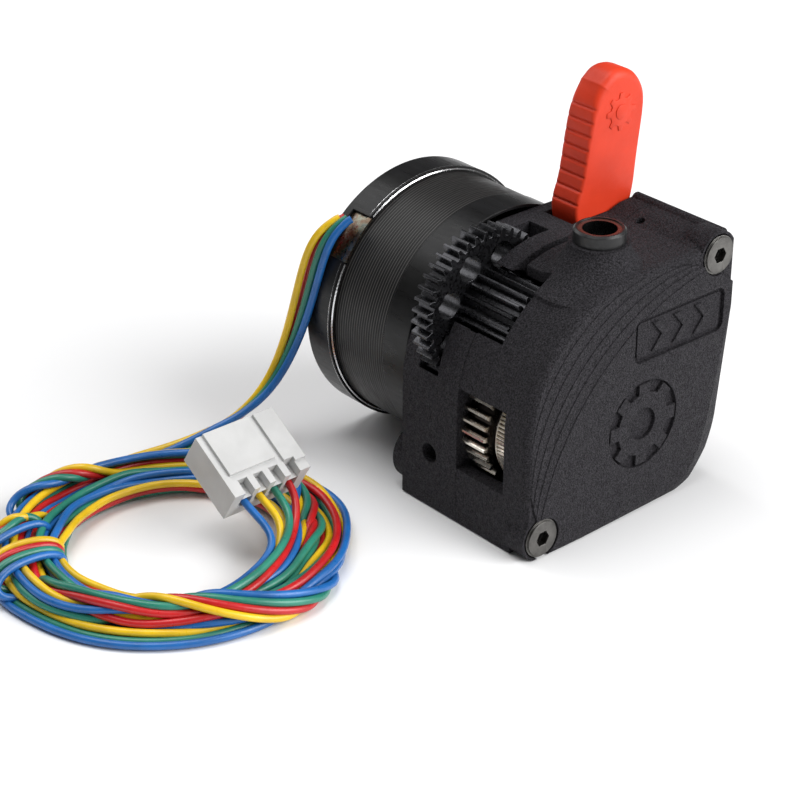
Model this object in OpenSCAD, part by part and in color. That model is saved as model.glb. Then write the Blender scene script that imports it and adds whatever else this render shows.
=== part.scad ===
// Geared filament extruder: split gearbox, two driven hob gears on a spring-loaded idler arm with a
// quick-release lever, and a round pancake stepper motor with its leads and connector.
// Millimetres. Origin: filament outlet on the bottom face. +X right, +Y back to the motor, +Z up.

/* [Housing] */
// Left wall of the gearbox, measured from the filament path
wall_left = 18.0; // [17.8:0.1:18.4]
// Right wall of the gearbox, measured from the filament path
wall_right = 18.8; // [18.6:0.1:19.2]
// Height of the top face
top_z = 35.7; // [35.6:0.1:36.4]
// Front face, in front of the filament path
front_depth = 7.0; // [6.8:0.1:7.4]
// Parting seam, behind the filament path
seam_y = 7.1; // [7.0:0.05:7.2]
// Rear face, where the motor seats
rear_y = 18.0; // [17.9:0.1:18.2]
// Radius of the large upper left corner
big_corner_r = 18.7; // [17:0.1:19]
// Radius of the lower right corner
low_corner_r = 8.4; // [6:0.1:9]
// Depth of one of the five contour steps on the front face
step_depth = 0.08; // [0.05:0.01:0.1]
// Rounding of the front edges
edge_r = 1.6; // [1.0:0.1:2.0]

/* [Gears] */
// Gear module
gear_module = 0.5; // [0.5:0.1:0.5]
// Teeth of the motor pinion
motor_teeth = 8; // [8:1:8]
// Teeth of the reduction gear
reduction_teeth = 42; // [42:1:42]
// Teeth of the long reduction pinion
pinion_teeth = 20; // [20:1:20]
// Teeth of each drive gear
drive_teeth = 34; // [34:1:34]
// Radius of the hobbed filament track
hob_r = 7.85; // [7.7:0.05:7.95]
// Thinning of each tooth at the pitch circle
backlash = 0.08; // [0.05:0.01:0.12]

/* [Idler and lever] */
// Radius of the lever hub
lever_hub_r = 4.2; // [3.8:0.1:4.3]
// Thickness of the lever
lever_t = 5.0; // [4.6:0.1:5.0]
// Fall of the cam over the lever's travel
cam_fall = 1.5; // [1.0:0.1:1.6]
// Travel of the lever, degrees
lever_travel = 80; // [70:1:80]

/* [Motor] */
// Outer radius of the laminated stack
stack_r = 18.0; // [17.6:0.1:18.0]
// Radius of the front end bell
front_cap_r = 18.1; // [18.0:0.1:18.4]
// Radius of the rear end bell
rear_cap_r = 18.8; // [18.6:0.1:19.0]
// Thickness of the front end bell
front_cap_t = 4.7; // [4.5:0.1:4.8]
// Length of the laminated stack
stack_t = 10.5; // [10.4:0.1:10.6]
// Thickness of the rear end bell
rear_cap_t = 4.8; // [4.8:0.1:5.2]

/* [Leads] */
// Radius of the bundle of four leads
bundle_r = 1.5; // [1.3:0.1:1.8]
// Inner radius of the wound coil of leads
coil_in_r = 14.5; // [13:0.5:15]
// Outer radius of the wound coil of leads
coil_out_r = 27.5; // [26:0.5:29]
// Height of the wound coil
coil_h = 6.8; // [6.2:0.1:7]

/* [Hidden] */
$fn = 64;
big = 60;
eps = 0.01;

// Places in the plane of the front face, as [x, z]
drive_l = [-8.5, 14.0];
drive_r = [8.5, 14.0];
counter = [-8.5, 27.5];
motor_ax = [0.5, counter[1] - sqrt(pow((reduction_teeth + motor_teeth) * gear_module / 2, 2) - 81)];
idler_pivot = [5.0, 3.3];
lever_ax = [10.7, 30.0];
screw_tr = [15.85, 34.2];
screw_bl = [-15.3, 2.75];
screw_bls = [screw_tr, screw_bl];
motor_screw_at = [[motor_ax[0] - 9.55, motor_ax[1] - 9.55], [motor_ax[0] + 9.55, motor_ax[1] - 9.55]];

// Stations along Y
front_y = -front_depth;
spur_y = [2.5, 6.9];
hob_y = [-1.8, 2.2];
pinion_y = [2.5, 11.7];
gear_y = [11.7, 14.7];
slot_y = [11.3, 15.05];
arm_front_y = [-4.1, -2.1];
arm_rear_y = [7.3, 10.3];
lever_y = [10.8, 10.8 + lever_t];
cam_y = [7.4, 10.6];
stack_y = [rear_y + front_cap_t, rear_y + front_cap_t + stack_t];
motor_end_y = stack_y[1] + rear_cap_t;

// Radii shared by fits
shaft_r = 1.5;
bush_bore_r = 1.53;
seat_r = 1.52;
pinion_bore_r = 2.3;
drive_bore_r = 2.5;
drive_tip_r = (drive_teeth / 2 + 0.95) * gear_module;
chamber_r = 9.4;
motor_shaft_r = 2.5;
motor_bearing_r = 5.5;
outlet_r = 2.05;
tube_r = 1.7;
tube_bore_r = 1.0;
m3_r = 1.45;
insert_r = 2.0;
tap_r = 1.4;
collar_r = 3.5;
collar_top = 40.6;
collar_seat = 36.0;
sleeve_r = 2.95;
plunger_x = [5.0, 7.1];
seat_x = [-1.2, 1.2];
spring_r = 1.2;
spring_wire_r = 0.3;

// Places of the coil of leads and of the connector that lies on it
coil_at = [-51, 25];
plug_at = [-40.9, 22.6, 10.9];
plug_turn = [32, 0, 0];
plug_size = [12.4, 9.8, 5.75];
plug_pitch = 2.5;
lead_route = [[-13, 35.4, 33.6], [-14.2, 36.2, 33], [-15.6, 36.8, 31.4], [-16.6, 37.4, 28.6],
    [-17.4, 37.8, 25.4], [-18.2, 38.2, 22], [-19.2, 38.8, 18], [-20.4, 39.4, 14.4], [-22, 40, 11],
    [-24, 40.8, 8], [-26.4, 41.6, 5.8], [-29, 42.2, 4.4], [-31.2, 42.6, 3.6]];

// Solid between two stations along Y, from a profile drawn as (x, z)
module along_y(ys) translate([0, ys[1], 0]) rotate([90, 0, 0]) linear_extrude(ys[1] - ys[0]) children();
module rod(at, r, ys) along_y(ys) translate(at) circle(r = r);
module ring(at, r_in, r_out, ys) along_y(ys) translate(at) difference() {
    circle(r = r_out);
    circle(r = r_in);
}
module box(lo, hi) translate(lo) cube(hi - lo);

// Flat bar with round ends between two points
module link2d(a, b, ra, rb) {
    d = b - a;
    n = [-d[1], d[0]] / norm(d);
    translate(a) circle(r = ra);
    translate(b) circle(r = rb);
    polygon([a + n * ra, a - n * ra, b - n * rb, b + n * rb]);
}

// Involute gear outline: roll angle, half tooth angle, and the points of one tooth
function inv_deg(c) = (sqrt(1 / (c * c) - 1) * 180 / PI) - acos(c);
function half_tooth(n, r, base_r) = 90 / n - backlash * 90 / (PI * n * gear_module / 2)
    + inv_deg(cos(20)) - (r > base_r ? inv_deg(base_r / r) : 0);
function tooth_pts(n, at, radii, base_r) = concat(
    [for (i = [0:len(radii) - 1]) radii[i] * [cos(at - half_tooth(n, radii[i], base_r)),
        sin(at - half_tooth(n, radii[i], base_r))]],
    [for (i = [len(radii) - 1:-1:0]) radii[i] * [cos(at + half_tooth(n, radii[i], base_r)),
        sin(at + half_tooth(n, radii[i], base_r))]]);
function gear_radii(n) = let (pitch_r = n * gear_module / 2) [pitch_r - 1.2 * gear_module,
    max(pitch_r * cos(20), pitch_r - gear_module), pitch_r, pitch_r + 0.5 * gear_module,
    pitch_r + 0.95 * gear_module];
module gear2d(n, phase) polygon([for (k = [0:n - 1]) each
    tooth_pts(n, phase + k * 360 / n, gear_radii(n), n * gear_module / 2 * cos(20))]);

// Ring of fine pointed serrations
module serrated2d(n, r_root, r_tip) polygon([for (k = [0:n - 1]) each
    [r_root * [cos(k * 360 / n), sin(k * 360 / n)],
     r_tip * [cos((k + 0.4) * 360 / n), sin((k + 0.4) * 360 / n)],
     r_tip * [cos((k + 0.6) * 360 / n), sin((k + 0.6) * 360 / n)]]]);

// Outline of the gearbox seen from the front
big_corner = [big_corner_r - wall_left, top_z - big_corner_r];
low_corner = [wall_right - low_corner_r, low_corner_r];
module outline2d() difference() {
    translate([-wall_left, 0]) square([wall_left + wall_right, top_z]);
    difference() {
        translate([-wall_left - 1, big_corner[1]]) square([big_corner_r + 1, big_corner_r + 1]);
        translate(big_corner) circle(r = big_corner_r);
    }
    difference() {
        translate([low_corner[0], -1]) square(low_corner_r + 1);
        translate(low_corner) circle(r = low_corner_r);
    }
}

// Rounded lip along the right edge of the top, open at the screw corner
lip_w = 2.2;
lip_h = 1.4;
ramp_pts = [[12.2, -1], [12.2, 0], [13.2, 0.35], [14.6, 0.8], [17, 0.95], [17, -1]];
lip_end_y = 10.4;
seam_gap = 0.08;
module lip2d() {
    translate([0, top_z]) polygon(ramp_pts);
    translate([wall_right - lip_w, top_z - 1]) square([lip_w, lip_h + 1 - lip_w / 2]);
    translate([wall_right - lip_w / 2, top_z + lip_h - lip_w / 2]) circle(r = lip_w / 2);
}

// Front face: contour steps between two arcs, from the inner one to the corner arc
contour_inner = [18.1, -1.4];
contour_inner_r = 34.5;
contour_steps = 5;
module contour_cuts() for (i = [0:contour_steps - 1]) {
    t = i / contour_steps;
    c = contour_inner * (1 - t) + big_corner * t;
    r = contour_inner_r * (1 - t) + big_corner_r * t;
    along_y([front_y - 1, front_y + step_depth * (i + 1)]) difference() {
        translate([-wall_left - 2, big_corner[1] - 14]) square([40, 36]);
        translate(c) circle(r = r);
        translate([5, -5]) square([60, 19]);
    }
}

// Slanted cut that starts on the line from p to q of the front face and runs outwards
bevel_tilt = 66;
module edge_cut(p, q) {
    turn = atan2(q[1] - p[1], q[0] - p[0]);
    translate([p[0], front_y, p[1]]) rotate([0, -turn, 0]) rotate([-bevel_tilt, 0, 0])
        translate([-big, -big, -2 * big]) cube(2 * big);
}
bevel_line = [[5, 1.0], [10.2, 1.4], [12.2, 2.3], [14.2, 5.4], [15.5, 9.4], [18.0, 22]];

// Rounding cut along the left edge, the big corner and the top edge of the front face
module fillet2d() difference() {
    translate([-edge_r, -edge_r - 1]) square([edge_r + 2, edge_r + 1]);
    translate([-edge_r, 0]) circle(r = edge_r);
}
module front_fillets() {
    along_z = big_corner[1];
    along_x = wall_right - big_corner[0];
    translate([-wall_left, front_y + edge_r, -1]) mirror([1, 0, 0]) linear_extrude(along_z + 1) fillet2d();
    translate([big_corner[0], front_y + edge_r, top_z]) rotate([90, 0, 90]) linear_extrude(along_x + 1)
        mirror([1, -1, 0]) fillet2d();
    intersection() {
        translate([big_corner[0], front_y + edge_r, big_corner[1]]) rotate([-90, 0, 0])
            rotate_extrude() translate([big_corner_r, 0]) fillet2d();
        box([-wall_left - 3, front_y - 3, big_corner[1]], [big_corner[0], seam_y, top_z + 3]);
    }
}

// Lower left corner left round about its screw, ahead of a given station
boss_r = 3.3;
module screw_corner(at, end_y) along_y([front_y - 1, end_y]) difference() {
    translate(at - [6, 6]) square(6);
    translate(at) circle(r = boss_r);
}

// Generic cog badge and chevrons of the front face
badge_at = [2.7, 13.5];
badge_r = 6.4;
badge_depth = 0.5;
plate_lo = [0.4, 22.9];
plate_hi = [17.3, 29.3];
plate_r = 1.2;
plate_rim = 0.6;
plate_depth = 0.28;
module cog2d(r) difference() {
    union() {
        circle(r = r * 0.72);
        for (k = [0:7]) rotate(k * 45) translate([-r * 0.16, 0]) square([r * 0.32, r * 0.95]);
    }
    circle(r = r * 0.36);
}
module chevron2d() polygon([[0, 0], [1.2, 0], [3.0, 2.1], [1.2, 4.2], [0, 4.2], [1.8, 2.1]]);
module badge_cut() along_y([front_y - 1, front_y + badge_depth]) {
    translate(badge_at) difference() {
        circle(r = badge_r);
        cog2d(badge_r);
    }
    difference() {
        plate2d(0);
        plate2d(-plate_rim);
    }
}
module plate2d(grow) {
    size = plate_hi - plate_lo + 2 * [grow, grow];
    r = plate_r + grow;
    translate(plate_lo - [grow, grow]) {
        translate([r, 0]) square([size[0] - 2 * r, size[1]]);
        translate([0, r]) square([size[0], size[1] - 2 * r]);
        for (x = [r, size[0] - r], y = [r, size[1] - r]) translate([x, y]) circle(r = r);
    }
}
module plate_cut() along_y([front_y - 1, front_y + plate_depth]) difference() {
    plate2d(-plate_rim);
    for (k = [0:2]) translate([3.6 + 4 * k, plate_lo[1] + 1.1]) chevron2d();
}

// Screw pocket and clearance hole of a front screw
head_r = 2.75;
head_t = 2.0;
module screw_cut(at) {
    rod(at, head_r + 0.15, [front_y - 1, front_y + head_t]);
    rod(at, m3_r + 0.05, [front_y, seam_y + 3.2]);
}

// Concave flare under the inlet collar
flare_r = [9.6, 4.1];
flare_base = 33.2;
flare_top = 38.7;
module flare() {
    h = flare_top - flare_base;
    intersection() {
        rotate_extrude() polygon(concat([[0, flare_base - 1], [flare_r[0], flare_base - 1]],
            [for (i = [0:12]) [flare_r[1] + (flare_r[0] - flare_r[1]) * pow(1 - i / 12, 2),
                flare_base + h * i / 12]], [[0, flare_top]]));
        box([-20, front_y, 0], [20, seam_y - seam_gap, 60]);
    }
}

// Space swept by the idler arm and its gear
arm_swing = 4;
function swung(p) = idler_pivot + [(p - idler_pivot)[0] * cos(arm_swing) + (p - idler_pivot)[1] * sin(arm_swing),
    -(p - idler_pivot)[0] * sin(arm_swing) + (p - idler_pivot)[1] * cos(arm_swing)];
bridge_at = [8.5, 24.9];
bridge_half = [2.2, 1.4];
eye_r = 2.2;
arm_r = 3.0;
module arm_plate2d(grow) {
    link2d(idler_pivot, drive_r, eye_r + grow, arm_r + grow);
    link2d(drive_r, bridge_at, arm_r + grow, bridge_half[1] + grow);
    translate(bridge_at - bridge_half - [grow, grow]) square(2 * (bridge_half + [grow, grow]));
}
module arm_seat2d(grow) {
    link2d(bridge_at, [0, bridge_at[1]], bridge_half[1] + grow - 0.2, seat_x[1] + grow);
    translate([seat_x[0] - grow, bridge_at[1]]) square([seat_x[1] - seat_x[0] + 2 * grow, 6.3 + grow]);
}
module at_swing(a) translate(idler_pivot) rotate(-a) translate(-idler_pivot) children();
module arm_space2d(with_seat) for (a = [0, arm_swing / 2, arm_swing]) at_swing(a) {
    arm_plate2d(0.35);
    if (with_seat) arm_seat2d(0.3);
}

module front_housing() color([0.09, 0.09, 0.1]) difference() {
    union() {
        difference() {
            union() {
                along_y([front_y, seam_y - seam_gap]) outline2d();
                along_y([front_y, seam_y - seam_gap]) lip2d();
            }
            front_fillets();
        }
        along_y([front_y + 0.4, front_y + 4]) intersection() {
            for (at = screw_bls) translate(at) circle(r = boss_r);
            translate([-2 * wall_left, 0]) square([2 * wall_left + wall_right, 2 * top_z]);
        }
        flare();
    }
    screw_corner(screw_bl, front_y + 3.4);
    contour_cuts();
    for (i = [0:len(bevel_line) - 2]) edge_cut(bevel_line[i], bevel_line[i + 1]);
    badge_cut();
    plate_cut();
    for (at = screw_bls) screw_cut(at);
    // gear chambers
    rod(drive_l, chamber_r, [hob_y[0] - 0.4, seam_y + 1]);
    for (c = [drive_r, swung(drive_r)]) rod(c, chamber_r, [hob_y[0] - 0.3, seam_y + 1]);
    rod(counter, 6.0, [2.2, seam_y + 1]);
    // side windows onto the drive gears
    box([-wall_left - 1, hob_y[0] - 0.2, 8.2], [-12, seam_y + 1, 20.2]);
    box([12, hob_y[0] - 0.2, 8.2], [wall_right + 1, seam_y + 1, 20.2]);
    // open corner above the pinion
    box([-wall_left - 2, 2.2, 27.3], [-6.1, seam_y + 1, top_z + 6]);
    // idler arm: front plate and bridge
    along_y([arm_front_y[0] - 0.3, hob_y[0]]) arm_space2d(false);
    along_y([arm_front_y[0] - 0.3, seam_y + 1]) for (a = [0, arm_swing / 2, arm_swing])
        at_swing(a) translate(bridge_at - bridge_half - [0.35, 0.35]) square(2 * bridge_half + [0.7, 0.7]);
    // filament path: inlet seat, upper and lower tubes, outlet
    translate([0, 0, collar_seat]) cylinder(r = collar_r, h = 10);
    translate([0, 0, 19.2]) cylinder(r = tube_r, h = 20);
    translate([0, 0, -1]) cylinder(r = outlet_r, h = 5);
    translate([0, 0, 4 - eps]) cylinder(r = tube_r, h = 5);
    // shaft seats
    rod(drive_l, seat_r, [-4.5, 0]);
    rod(counter, seat_r, [-0.5, 3]);
    rod(idler_pivot, 1.02, [-5.5, seam_y + 1]);
    // locating dimple on the top face
    translate([13, 5, top_z - 0.8]) cylinder(r = 0.6, h = 2);
}

module motor_rod(r, ys) rod(motor_ax, r, ys);

module rear_housing() color([0.09, 0.09, 0.1]) difference() {
    union() {
        along_y([seam_y, rear_y]) outline2d();
        along_y([seam_y, lip_end_y]) lip2d();
        rod([-wall_left + 4.3, 4.3], 4.3, [rear_y - 1, rear_y + 2]);
        intersection() {
            rod([wall_right - 4.3, 4.3], 4.3, [rear_y - 1, rear_y + 2]);
            along_y([rear_y - 1, rear_y + 2]) outline2d();
        }
    }
    motor_rod(rear_cap_r + 0.5, [rear_y, rear_y + 3]);
    // reduction gear slot, its notch in the top, and the motor face window behind it
    rod(counter, 11.7, slot_y);
    box([counter[0], slot_y[0], counter[1]], [2.0, slot_y[1], top_z + 6]);
    along_y([slot_y[1] - 1, rear_y + 1]) difference() {
        translate(counter) circle(r = 9);
        link2d(counter, [-1, 20], 4.2, 3.2);
    }
    motor_rod(3.1, [slot_y[0], slot_y[1] + 1]);
    motor_rod(5, [slot_y[1] - 0.5, rear_y]);
    motor_rod(8.05, [rear_y - 2, rear_y + 1]);
    // pinion passage, open corner and the gap behind the seam
    rod(counter, 6.3, [seam_y - 1, slot_y[0] + 1]);
    box([-wall_left - 2, seam_y - 1, 27.3], [-6.1, 8.2, top_z + 6]);
    box([-6.2, seam_y - 1, 32.9], [5.6, 8.2, top_z + 6]);
    // screw inserts, shaft seats
    for (at = screw_bls) rod(at, insert_r, [seam_y - 1, 10.3]);
    rod(drive_l, seat_r, [seam_y - 1, 9.5]);
    rod(counter, seat_r, [slot_y[1] - 1, 17.5]);
    rod(idler_pivot, 1.02, [seam_y - 1, 11.5]);
    // idler arm, spring and plunger space
    along_y([seam_y - 1, arm_rear_y[1] + 0.4]) arm_space2d(true);
    box([seat_x[0] - 0.3, seam_y - 1, 28.3], [lever_ax[0], arm_rear_y[1] + 0.4, 31.7]);
    // lever slot with a round floor, cam chamber and pin seat
    box([5.6, lever_y[0] - 0.2, 24.3], [wall_right + 1, lever_y[1] + 0.2, top_z + 6]);
    rod(lever_ax, 3.9, [seam_y - 1, lever_y[0]]);
    rod(lever_ax, seat_r, [lever_y[1], 17.6]);
    // motor screws
    for (at = motor_screw_at) {
        rod(at, 3.0, [seam_y - 1, 14.5]);
        rod(at, 1.6, [14, rear_y + 1]);
    }
    // tapped mounting holes: left, right and bottom
    for (s = [-1, 1]) {
        translate([s < 0 ? -wall_left - 1 : wall_right + 1, 12.5, 8.2]) rotate([0, -s * 90, 0])
            cylinder(r = tap_r, h = 6);
        translate([9 * s, 13.5, -1]) cylinder(r = tap_r, h = 6);
    }
}

module front_screws() color([0.3, 0.3, 0.31]) for (at = screw_bls) difference() {
    union() {
        rod(at, head_r - 0.25, [front_y, front_y + 0.25]);
        rod(at, head_r, [front_y + 0.25, front_y + head_t]);
        rod(at, m3_r, [front_y + 1, 10.0]);
    }
    along_y([front_y - 1, front_y + 1.1]) translate(at) circle(r = 1.155, $fn = 6);
}
module screw_inserts() color([0.8, 0.6, 0.3]) for (at = screw_bls) ring(at, m3_r + 0.03, insert_r, [7.3, 10.3]);
module motor_screws() color([0.25, 0.25, 0.26]) for (at = motor_screw_at) difference() {
    union() {
        rod(at, head_r, [12.5, 14.5]);
        rod(at, m3_r, [14, 22]);
    }
    along_y([12, 13.6]) translate(at) circle(r = 1.155, $fn = 6);
}
module counter_shaft() color([0.75, 0.75, 0.77]) rod(counter, shaft_r, [-0.5, 17.5]);
module left_drive_shaft() color([0.75, 0.75, 0.77]) rod(drive_l, shaft_r, [-4.5, 9.5]);
module idler_pivot_pin() color([0.75, 0.75, 0.77]) rod(idler_pivot, 1.0, [-5.5, 11.5]);
module lever_pin() color([0.75, 0.75, 0.77]) rod(lever_ax, shaft_r, [7.2, 17.6]);
module inlet_collar() color([0.13, 0.13, 0.14]) translate([0, 0, collar_seat]) rotate_extrude()
    polygon([[sleeve_r, 0], [collar_r, 0], [collar_r, collar_top - collar_seat - 0.3],
        [collar_r - 0.3, collar_top - collar_seat], [sleeve_r, collar_top - collar_seat]]);
module inlet_sleeve() color([0.45, 0.16, 0.1]) translate([0, 0, collar_seat]) difference() {
    cylinder(r = sleeve_r, h = collar_top - collar_seat - 0.2);
    translate([0, 0, -1]) cylinder(r = 2.3, h = 20);
}
module upper_guide_tube() color("white") translate([0, 0, 19.3]) difference() {
    cylinder(r = tube_r, h = 16.7);
    translate([0, 0, -1]) cylinder(r = tube_bore_r, h = 20);
}
module lower_guide_tube() color("white") translate([0, 0, 4.1]) difference() {
    cylinder(r = tube_r, h = 4.7);
    translate([0, 0, -1]) cylinder(r = tube_bore_r, h = 20);
}

case_screw_at = [for (k = [0:3]) motor_ax + 16.5 * [cos(25 + 90 * k), sin(25 + 90 * k)]];
window_angles = [127, 149];
module sector2d(r, a0, a1) polygon(concat([[0, 0]], [for (i = [0:6]) r * [cos(a0 + (a1 - a0) * i / 6),
    sin(a0 + (a1 - a0) * i / 6)]]));

module motor_front_cap() color([0.14, 0.14, 0.15]) difference() {
    union() {
        rod(motor_ax, front_cap_r, [rear_y, stack_y[0]]);
        rod(motor_ax, 8, [rear_y - 2, rear_y + 1]);
    }
    rod(motor_ax, 4.4, [rear_y - 3, rear_y + 1]);
    rod(motor_ax, motor_bearing_r, [rear_y + 0.5, rear_y + 3.5]);
    rod(motor_ax, 15.2, [rear_y + 3.5, stack_y[0] + 1]);
    for (at = case_screw_at) rod(at, 1.0, [rear_y + 1.0, stack_y[0] + 1]);
    for (at = motor_screw_at) rod(at, m3_r + 0.03, [rear_y - 1, 22.2]);
}
module pole2d() {
    translate([9.6, -1.4]) square([6, 2.8]);
    intersection() {
        difference() {
            circle(r = 10.2);
            circle(r = 9.6);
        }
        sector2d(12, -14, 14);
    }
}
module motor_stator_stack() color([0.1, 0.1, 0.1]) difference() {
    along_y(stack_y) translate(motor_ax) union() {
        difference() {
            circle(r = stack_r);
            circle(r = 15.2);
        }
        for (k = [0:7]) rotate(22.5 + 45 * k) pole2d();
    }
    for (at = case_screw_at) rod(at, 1.0, stack_y + [-1, 1]);
}
module motor_windings() color([0.72, 0.38, 0.15]) translate([motor_ax[0], 0, motor_ax[1]])
    for (k = [0:7]) rotate([0, -22.5 - 45 * k, 0]) difference() {
        box([10.5, stack_y[0] - 0.8, -2.8], [14.6, stack_y[1] + 0.8, 2.8]);
        box([10, stack_y[0] - 0.02, -1.42], [15.5, stack_y[1] + 0.02, 1.42]);
    }
module motor_rear_cap() color([0.07, 0.07, 0.08]) difference() {
    union() {
        difference() {
            rod(motor_ax, rear_cap_r, [stack_y[1], motor_end_y]);
            rod(motor_ax, 15.2, [stack_y[1] - 1, motor_end_y - 1.2]);
            along_y([stack_y[1] - 1, motor_end_y - 1.2]) translate(motor_ax) sector2d(30, window_angles[0], window_angles[1]);
        }
        rod(motor_ax, 7.5, [stack_y[1] + 0.9, motor_end_y]);
    }
    rod(motor_ax, 3.6, [stack_y[1], motor_end_y - 0.6]);
    rod(motor_ax, motor_bearing_r, [stack_y[1], motor_end_y - 0.6]);
    for (at = case_screw_at) rod(at, 1.0, [stack_y[1] - 1, motor_end_y - 1.8]);
}
module ball_bearing(ys) ring(motor_ax, motor_shaft_r + 0.02, motor_bearing_r - 0.02, ys);
module motor_front_bearing() color([0.7, 0.7, 0.72]) ball_bearing([rear_y + 0.5, rear_y + 3.5]);
module motor_rear_bearing() color([0.7, 0.7, 0.72]) ball_bearing([stack_y[1] + 0.9, stack_y[1] + 3.9]);
module bearing_preload_washer() color([0.6, 0.6, 0.6]) ring(motor_ax, 3.6, 5.3, [stack_y[1] + 3.9, motor_end_y - 0.6]);
module motor_case_screws() color([0.5, 0.5, 0.5]) for (at = case_screw_at)
    rod(at, 0.97, [rear_y + 1.0, motor_end_y - 1.8]);
// Plated plate set back in the lead window of the rear end bell
module lead_window_plate() color([0.66, 0.65, 0.6]) along_y([stack_y[1] + 0.05, motor_end_y - 1.25])
    translate(motor_ax) intersection() {
        difference() {
            circle(r = 16.6);
            circle(r = 15.6);
        }
        sector2d(30, window_angles[0] + 0.5, window_angles[1] - 0.5);
    }

// Angle from the reduction shaft to the motor shaft, for the tooth phases
to_motor = atan2(motor_ax[1] - counter[1], motor_ax[0] - counter[0]);
module motor_rotor() color([0.35, 0.35, 0.36]) along_y(stack_y + [0.2, -0.2]) translate(motor_ax) difference() {
    serrated2d(50, 9.05, 9.3);
    circle(r = motor_shaft_r);
}
module motor_shaft() color([0.72, 0.72, 0.74]) {
    rod(motor_ax, motor_shaft_r, [17.0, motor_end_y - 1]);
    along_y([11.5, 17.0]) translate(motor_ax) gear2d(motor_teeth, to_motor + 180 + 180 / motor_teeth);
}
module reduction_gear() color([0.3, 0.3, 0.31]) along_y(gear_y) translate(counter) difference() {
    gear2d(reduction_teeth, to_motor);
    circle(r = pinion_bore_r);
    for (k = [0:7]) rotate(27 + 45 * k) translate([7.3, 0]) circle(r = 1.85);
}
module reduction_pinion() color([0.25, 0.25, 0.26]) along_y(pinion_y) translate(counter) difference() {
    gear2d(pinion_teeth, 270);
    circle(r = pinion_bore_r);
}
module reduction_bushes() color([0.75, 0.6, 0.35]) {
    ring(counter, bush_bore_r, pinion_bore_r, [pinion_y[0], pinion_y[0] + 3.5]);
    ring(counter, bush_bore_r, pinion_bore_r, [gear_y[0] - 1.2, gear_y[1]]);
}
hob_neck_r = 7.1;
hob_rim_r = hob_r + 0.05;
hob_rim_y = 1.3;
module drive_gear(at, phase) difference() {
    union() {
        along_y(spur_y) translate(at) gear2d(drive_teeth, phase);
        rod(at, hob_neck_r, [hob_y[1] - 0.1, spur_y[0] + 0.1]);
        along_y([hob_y[0], hob_rim_y]) translate(at) serrated2d(90, hob_r - 0.35, hob_r);
        translate([at[0], 0, at[1]]) rotate([-90, 0, 0]) rotate_extrude() polygon([[0, hob_rim_y - 0.1],
            [hob_rim_r, hob_rim_y - 0.1], [hob_rim_r, hob_rim_y], [hob_neck_r, hob_y[1]], [0, hob_y[1]]]);
    }
    rod(at, drive_bore_r, [hob_y[0] - 1, spur_y[1] + 1]);
}
drive_phase = 90 + 180 / drive_teeth;
module left_drive_gear() color([0.8, 0.78, 0.74]) drive_gear(drive_l, drive_phase);
module left_drive_bearing() color([0.6, 0.6, 0.62]) ring(drive_l, bush_bore_r, drive_bore_r, [hob_y[0], spur_y[1]]);
// The right gear has a tooth where the left one has a gap, on the line between the axes
module right_drive_gear() color([0.8, 0.78, 0.74]) drive_gear(drive_r, 180 - drive_phase + 180 / drive_teeth);
module right_drive_bearing() color([0.6, 0.6, 0.62]) ring(drive_r, bush_bore_r, drive_bore_r, [hob_y[0], spur_y[1]]);

module idler_arm() color([0.12, 0.12, 0.13]) difference() {
    union() {
        along_y(arm_front_y) arm_plate2d(0);
        along_y(arm_rear_y) {
            arm_plate2d(0);
            arm_seat2d(0);
        }
        along_y([arm_front_y[0], arm_rear_y[1]]) translate(bridge_at - bridge_half) square(2 * bridge_half);
    }
    rod(idler_pivot, 1.04, [arm_front_y[0] - 1, arm_rear_y[1] + 1]);
    rod(drive_r, shaft_r, [arm_front_y[0] - 1, arm_rear_y[1] + 1]);
}
module idler_axle() color([0.75, 0.75, 0.77]) rod(drive_r, shaft_r, [arm_front_y[0], arm_rear_y[1]]);

handle_pts = [[6.9, 34.0], [6.5, 37.4], [7.6, 41.2], [8.6, 47.2], [9.6, 51.9], [10.6, 54.3], [12.5, 55.4],
    [15.2, 55.2], [17.4, 54.0], [18.75, 51.7], [18.7, 48.2], [18.0, 42.5], [17.6, 38.4], [17.0, 35.5]];
module release_lever() color([0.85, 0.13, 0.08]) difference() {
    union() {
        rod(lever_ax, lever_hub_r, lever_y);
        along_y(lever_y) polygon(concat([lever_ax - [3.4, 1]], handle_pts, [lever_ax + [3.4, -1]]));
    }
    rod(lever_ax, seat_r + 0.02, [lever_y[0] - 1, lever_y[1] + 1]);
}
cam_r = 3.3;
function cam_at(a) = a < 180 ? cam_r : a < 180 + lever_travel ? cam_r - cam_fall * (a - 180) / lever_travel
    : a < 300 ? cam_r - cam_fall : cam_r - cam_fall * (360 - a) / 60;
module lever_cam() color([0.2, 0.2, 0.21]) along_y(cam_y) translate(lever_ax) difference() {
    polygon([for (a = [0:5:355]) cam_at(a) * [cos(a), sin(a)]]);
    circle(r = bush_bore_r);
}
module spring_plunger() color([0.7, 0.6, 0.4]) box([plunger_x[0], arm_rear_y[0] + 0.1, lever_ax[1] - 1.35],
    [plunger_x[1], arm_rear_y[1], lever_ax[1] + 1.35]);

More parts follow.
